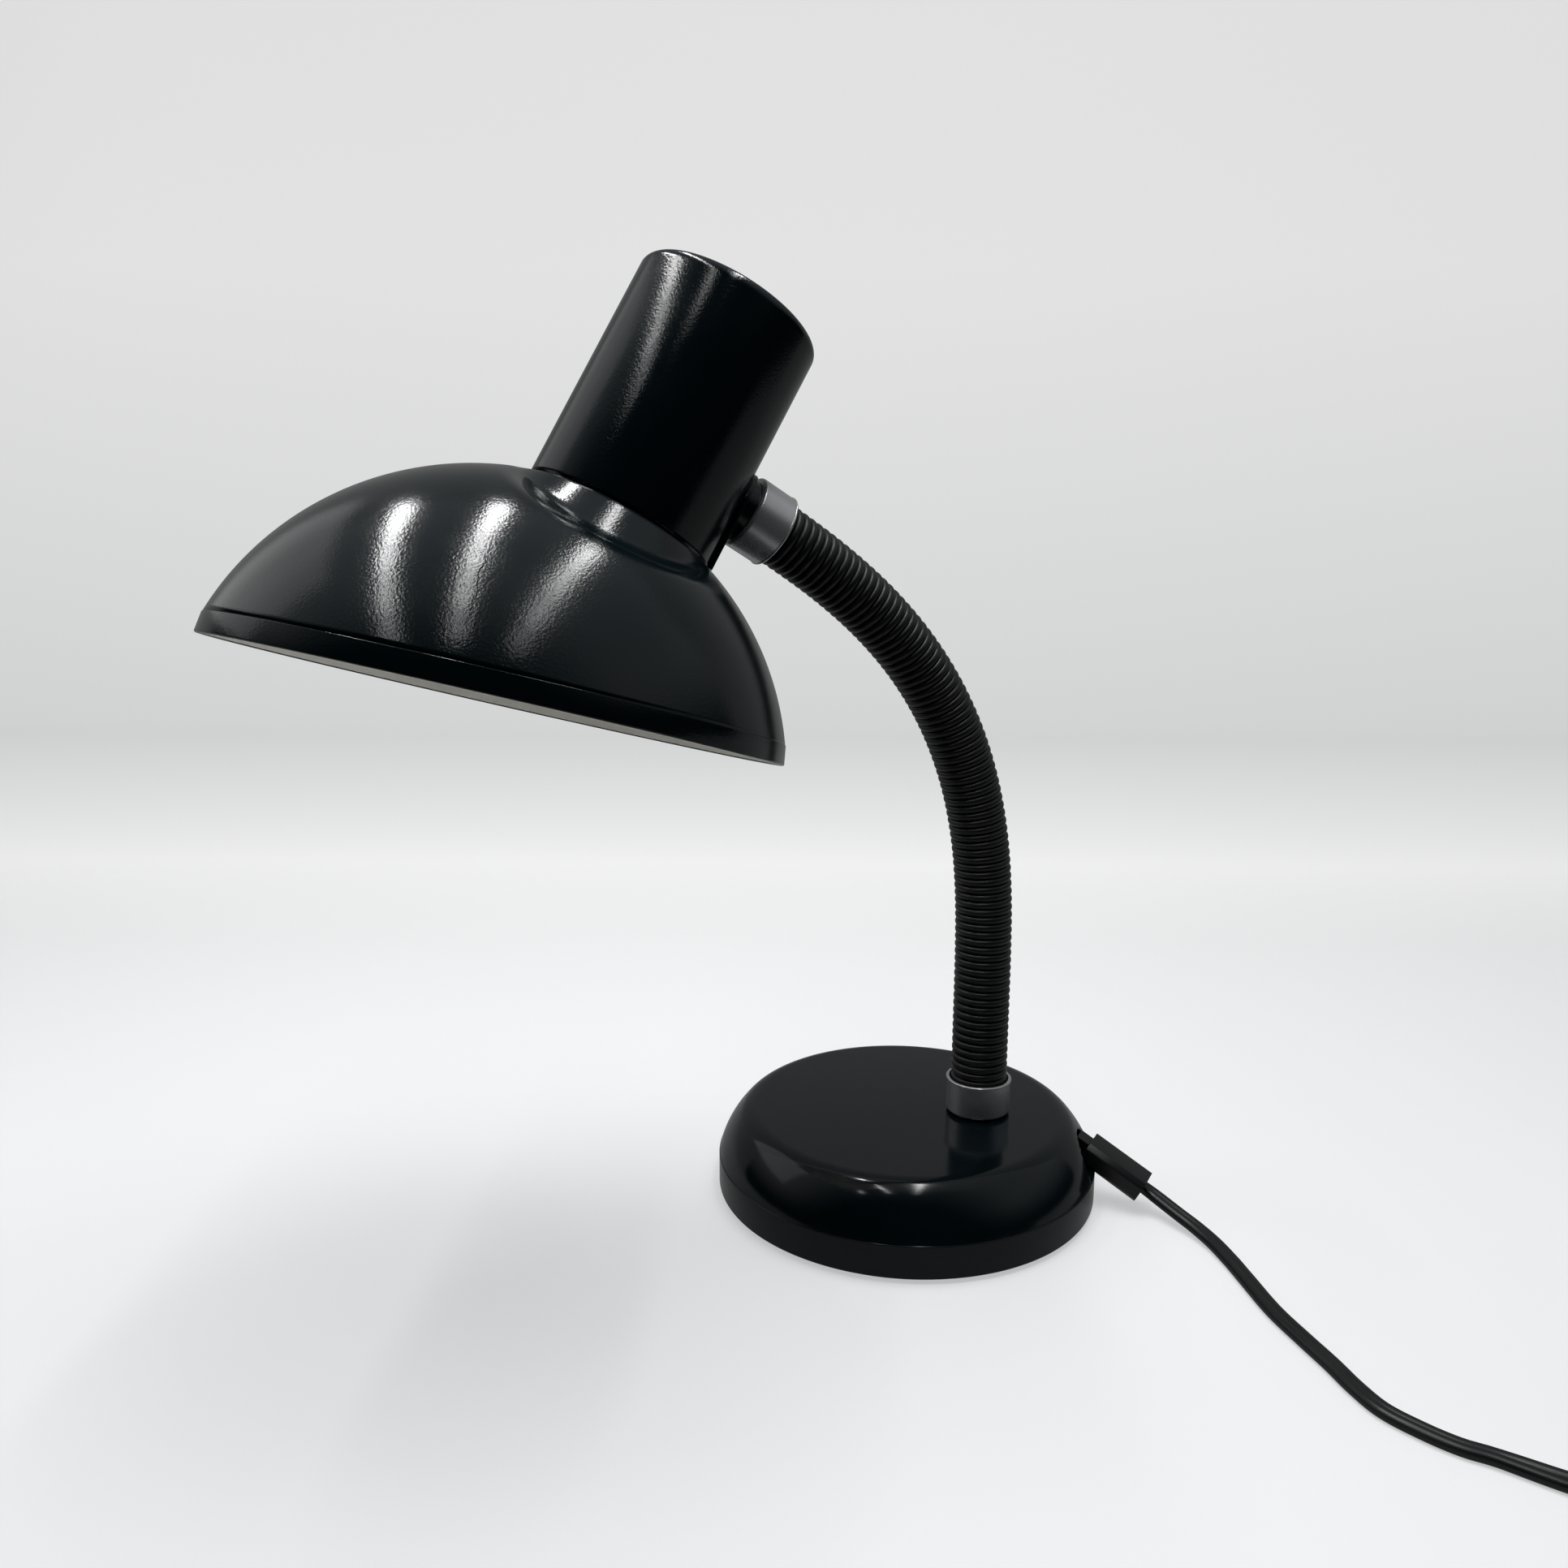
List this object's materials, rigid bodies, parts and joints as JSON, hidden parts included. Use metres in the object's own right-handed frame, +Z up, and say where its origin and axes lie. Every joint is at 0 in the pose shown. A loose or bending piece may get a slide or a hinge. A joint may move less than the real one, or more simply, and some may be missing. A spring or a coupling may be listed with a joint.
{
  "type": "gooseneck desk lamp",
  "caption": "Desk lamp with a weighted round base, a bendable ribbed neck, a push switch on its socket housing and a domed shade.",
  "frame": {"origin": "on the table under the centre of the round base", "axes": "+Z up; +X from the base's centre toward the neck's foot and the cord's exit; the neck leans toward -X and -Y"},
  "size_m": [0.5005, 0.2501, 0.3195],
  "materials": {
    "base_cover": "gloss black lacquer",
    "base_pad": "matt",
    "base_plate": "zinc plated",
    "base_screws": "zinc plated",
    "base_skirt": "gloss black",
    "base_weight": "raw casting",
    "bulb_cap": "plated",
    "bulb_glass": "opal",
    "coil_tie": "satin",
    "cord_coil": "satin",
    "cord_lead": "satin",
    "cord_relief": "satin",
    "cord_tail": "satin",
    "foot_ferrule": "brushed",
    "foot_nipple": "machined",
    "foot_nut": "machined",
    "foot_spacer": "satin",
    "foot_washer": "zinc plated",
    "head_boss": "gloss black",
    "head_ferrule": "brushed",
    "head_nipple": "machined",
    "head_nut": "machined",
    "holder_bracket": "zinc plated",
    "holder_contact": "stamped",
    "holder_shell": "satin",
    "housing_cap": "gloss black",
    "lamp_holder": "matt",
    "neck_core_01": "steel conduit",
    "neck_core_02": "steel conduit",
    "neck_core_03": "steel conduit",
    "neck_core_04": "steel conduit",
    "neck_core_05": "steel conduit",
    "neck_core_06": "steel conduit",
    "neck_core_07": "steel conduit",
    "neck_core_08": "steel conduit",
    "neck_core_09": "steel conduit",
    "neck_core_10": "steel conduit",
    "neck_core_11": "steel conduit",
    "neck_sleeve_01": "satin black",
    "neck_sleeve_02": "satin black",
    "neck_sleeve_03": "satin black",
    "neck_sleeve_04": "satin black",
    "neck_sleeve_05": "satin black",
    "neck_sleeve_06": "satin black",
    "neck_sleeve_07": "satin black",
    "neck_sleeve_08": "satin black",
    "neck_sleeve_09": "satin black",
    "neck_sleeve_10": "satin black",
    "neck_sleeve_11": "satin black",
    "plug_body": "satin",
    "plug_pins": "nickel plated",
    "shade": "gloss black lacquer outside, pale inside",
    "shade_ring": "satin",
    "socket_housing": "gloss black lacquer",
    "switch_body": "matt",
    "switch_button": "gloss black",
    "switch_nut": "plated",
    "terminal_block": "matt"
  },
  "bodies": {
    "base": {"base_cover": "base_cover", "base_pad": "base_pad", "base_plate": "base_plate", "base_screws": "base_screws", "base_skirt": "base_skirt", "base_weight": "base_weight", "coil_tie": "coil_tie", "cord_coil": "cord_coil", "cord_lead": "cord_lead", "cord_relief": "cord_relief", "cord_tail": "cord_tail", "foot_ferrule": "foot_ferrule", "foot_nipple": "foot_nipple", "foot_nut": "foot_nut", "foot_spacer": "foot_spacer", "foot_washer": "foot_washer", "neck_core_01": "neck_core_01", "neck_sleeve_01": "neck_sleeve_01", "plug_body": "plug_body", "plug_pins": "plug_pins", "terminal_block": "terminal_block"},
    "link_02": {"neck_sleeve_02": "neck_sleeve_02", "neck_core_02": "neck_core_02"},
    "link_03": {"neck_sleeve_03": "neck_sleeve_03", "neck_core_03": "neck_core_03"},
    "link_04": {"neck_sleeve_04": "neck_sleeve_04", "neck_core_04": "neck_core_04"},
    "link_05": {"neck_sleeve_05": "neck_sleeve_05", "neck_core_05": "neck_core_05"},
    "link_06": {"neck_sleeve_06": "neck_sleeve_06", "neck_core_06": "neck_core_06"},
    "link_07": {"neck_sleeve_07": "neck_sleeve_07", "neck_core_07": "neck_core_07"},
    "link_08": {"neck_sleeve_08": "neck_sleeve_08", "neck_core_08": "neck_core_08"},
    "link_09": {"neck_sleeve_09": "neck_sleeve_09", "neck_core_09": "neck_core_09"},
    "link_10": {"neck_sleeve_10": "neck_sleeve_10", "neck_core_10": "neck_core_10"},
    "head": {"bulb_cap": "bulb_cap", "bulb_glass": "bulb_glass", "head_boss": "head_boss", "head_ferrule": "head_ferrule", "head_nipple": "head_nipple", "head_nut": "head_nut", "holder_bracket": "holder_bracket", "holder_contact": "holder_contact", "holder_shell": "holder_shell", "housing_cap": "housing_cap", "lamp_holder": "lamp_holder", "neck_core_11": "neck_core_11", "neck_sleeve_11": "neck_sleeve_11", "shade": "shade", "shade_ring": "shade_ring", "socket_housing": "socket_housing", "switch_body": "switch_body", "switch_nut": "switch_nut"},
    "button": {"switch_button": "switch_button"}
  },
  "joints": [
    {"name": "bend_low_01", "type": "hinge", "parent": "base", "child": "link_02", "pos_m": [0.02665, 0, 0.05681], "axis": [0.5793, -0.8151, 0], "range_deg": [-10, 10]},
    {"name": "swing_low_02", "type": "hinge", "parent": "link_02", "child": "link_03", "pos_m": [0.02665, 0, 0.07952], "axis": [-0.8151, -0.5793, 0], "range_deg": [-10, 10]},
    {"name": "bend_low_03", "type": "hinge", "parent": "link_03", "child": "link_04", "pos_m": [0.02642, -0.00017, 0.10222], "axis": [0.5793, -0.8151, 0], "range_deg": [-10, 10]},
    {"name": "bend_low_04", "type": "hinge", "parent": "link_04", "child": "link_05", "pos_m": [0.02512, -0.00109, 0.12487], "axis": [0.5793, -0.8151, 0], "range_deg": [-10, 10]},
    {"name": "swing_low_05", "type": "hinge", "parent": "link_05", "child": "link_06", "pos_m": [0.02174, -0.00349, 0.14718], "axis": [-0.7893, -0.5609, -0.2496], "range_deg": [-10, 10]},
    {"name": "bend_mid_06", "type": "hinge", "parent": "link_06", "child": "link_07", "pos_m": [0.01565, -0.00781, 0.1686], "axis": [0.5793, -0.8151, 0], "range_deg": [-10, 10]},
    {"name": "bend_mid_07", "type": "hinge", "parent": "link_07", "child": "link_08", "pos_m": [0.00667, -0.0142, 0.18842], "axis": [0.5793, -0.8151, 0], "range_deg": [-10, 10]},
    {"name": "swing_up_08", "type": "hinge", "parent": "link_08", "child": "link_09", "pos_m": [-0.00497, -0.02247, 0.20604], "axis": [-0.5875, -0.4175, -0.6932], "range_deg": [-10, 10]},
    {"name": "bend_up_09", "type": "hinge", "parent": "link_09", "child": "link_10", "pos_m": [-0.01871, -0.03224, 0.22122], "axis": [0.5793, -0.8151, 0], "range_deg": [-10, 10]},
    {"name": "bend_up_10", "type": "hinge", "parent": "link_10", "child": "head", "pos_m": [-0.03387, -0.04301, 0.23424], "axis": [0.5793, -0.8151, 0], "range_deg": [-10, 10]},
    {"name": "switch_press", "type": "slide", "parent": "head", "child": "button", "axis": [-0.4076, -0.2896, -0.866], "range_m": [0, 0.003], "stiffness_N_per_m": 500, "springref_m": -0.002}
  ],
  "couplings": [
    {"joint": "bend_low_03", "follows": "bend_low_01", "ratio": 1},
    {"joint": "bend_low_04", "follows": "bend_low_01", "ratio": 1},
    {"joint": "swing_low_05", "follows": "swing_low_02", "ratio": 1},
    {"joint": "bend_mid_07", "follows": "bend_mid_06", "ratio": 1},
    {"joint": "bend_up_10", "follows": "bend_up_09", "ratio": 1}
  ]
}
